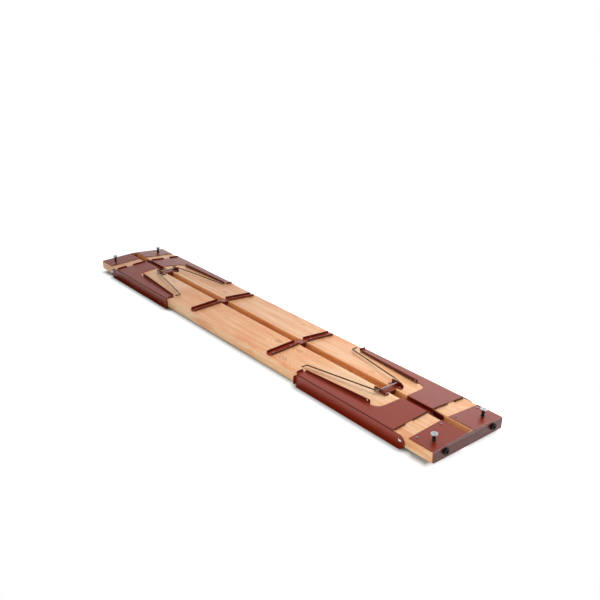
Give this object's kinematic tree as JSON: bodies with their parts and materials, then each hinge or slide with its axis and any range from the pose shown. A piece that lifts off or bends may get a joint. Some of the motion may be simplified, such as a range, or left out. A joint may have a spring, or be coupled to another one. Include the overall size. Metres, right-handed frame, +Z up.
{
  "type": "folding bench",
  "caption": "Folding wooden bench, legs folded flat: boards joined by steel brackets, sheet-steel legs on hinge rods, wire bows that lock them open.",
  "frame": {"origin": "on the floor under the middle of the bench, as it lies on its seat with the legs folded", "axes": "+X along the bench towards the end called right, +Y across it towards the back board, +Z up, away from the seat face"},
  "size_m": [2.016, 0.3452, 0.0741],
  "materials": {
    "pine": "varnished knotty pine, satin",
    "coat": "red-brown powder coat, glossy",
    "wire": "bright drawn steel wire",
    "zinc": "zinc-plated steel",
    "rubber": "black rubber, matt",
    "nylon": "black nylon, satin"
  },
  "bodies": {
    "bench": {"bow_bracket_left": "coat", "bow_bracket_right": "coat", "bow_bracket_screw_left_1": "zinc", "bow_bracket_screw_left_2": "zinc", "bow_bracket_screw_left_3": "zinc", "bow_bracket_screw_left_4": "zinc", "bow_bracket_screw_right_1": "zinc", "bow_bracket_screw_right_2": "zinc", "bow_bracket_screw_right_3": "zinc", "bow_bracket_screw_right_4": "zinc", "bumper_left_back": "rubber", "bumper_left_front": "rubber", "bumper_right_back": "rubber", "bumper_right_front": "rubber", "cross_bracket_left": "coat", "cross_bracket_right": "coat", "cross_bracket_screw_left_1": "zinc", "cross_bracket_screw_left_2": "zinc", "cross_bracket_screw_left_3": "zinc", "cross_bracket_screw_left_4": "zinc", "cross_bracket_screw_right_1": "zinc", "cross_bracket_screw_right_2": "zinc", "cross_bracket_screw_right_3": "zinc", "cross_bracket_screw_right_4": "zinc", "end_plate_left": "coat", "end_plate_right": "coat", "end_plate_screw_left_1": "zinc", "end_plate_screw_left_2": "zinc", "end_plate_screw_left_3": "zinc", "end_plate_screw_left_4": "zinc", "end_plate_screw_right_1": "zinc", "end_plate_screw_right_2": "zinc", "end_plate_screw_right_3": "zinc", "end_plate_screw_right_4": "zinc", "hinge_nut_left": "zinc", "hinge_nut_right": "zinc", "hinge_rod_left": "zinc", "hinge_rod_right": "zinc", "hinge_washer_left_back": "nylon", "hinge_washer_left_front": "nylon", "hinge_washer_right_back": "nylon", "hinge_washer_right_front": "nylon", "seat_board_back": "pine", "seat_board_front": "pine", "stud_cap_left_back": "zinc", "stud_cap_left_front": "zinc", "stud_cap_right_back": "zinc", "stud_cap_right_front": "zinc", "stud_stem_left_back": "nylon", "stud_stem_left_front": "nylon", "stud_stem_right_back": "nylon", "stud_stem_right_front": "nylon"},
    "leg_right": {"hinge_spacer_right": "nylon", "leg_frame_right": "coat"},
    "leg_left": {"hinge_spacer_left": "nylon", "leg_frame_left": "coat"},
    "bow_right": {"lock_bow_right": "wire"},
    "bow_left": {"lock_bow_left": "wire"}
  },
  "joints": [
    {"name": "leg_hinge_right", "type": "hinge", "parent": "bench", "child": "leg_right", "pos_m": [0.8805, 0, 0.0302], "axis": [0, 1, 0], "range_deg": [0, 90]},
    {"name": "leg_hinge_left", "type": "hinge", "parent": "bench", "child": "leg_left", "pos_m": [-0.8805, 0, 0.0302], "axis": [0, -1, 0], "range_deg": [0, 90]},
    {"name": "bow_hinge_right", "type": "hinge", "parent": "bench", "child": "bow_right", "pos_m": [0.678, 0, 0.06453], "axis": [0, 1, 0], "range_deg": [0, 147.55]},
    {"name": "bow_hinge_left", "type": "hinge", "parent": "bench", "child": "bow_left", "pos_m": [-0.678, 0, 0.06453], "axis": [0, -1, 0], "range_deg": [0, 147.55]}
  ]
}
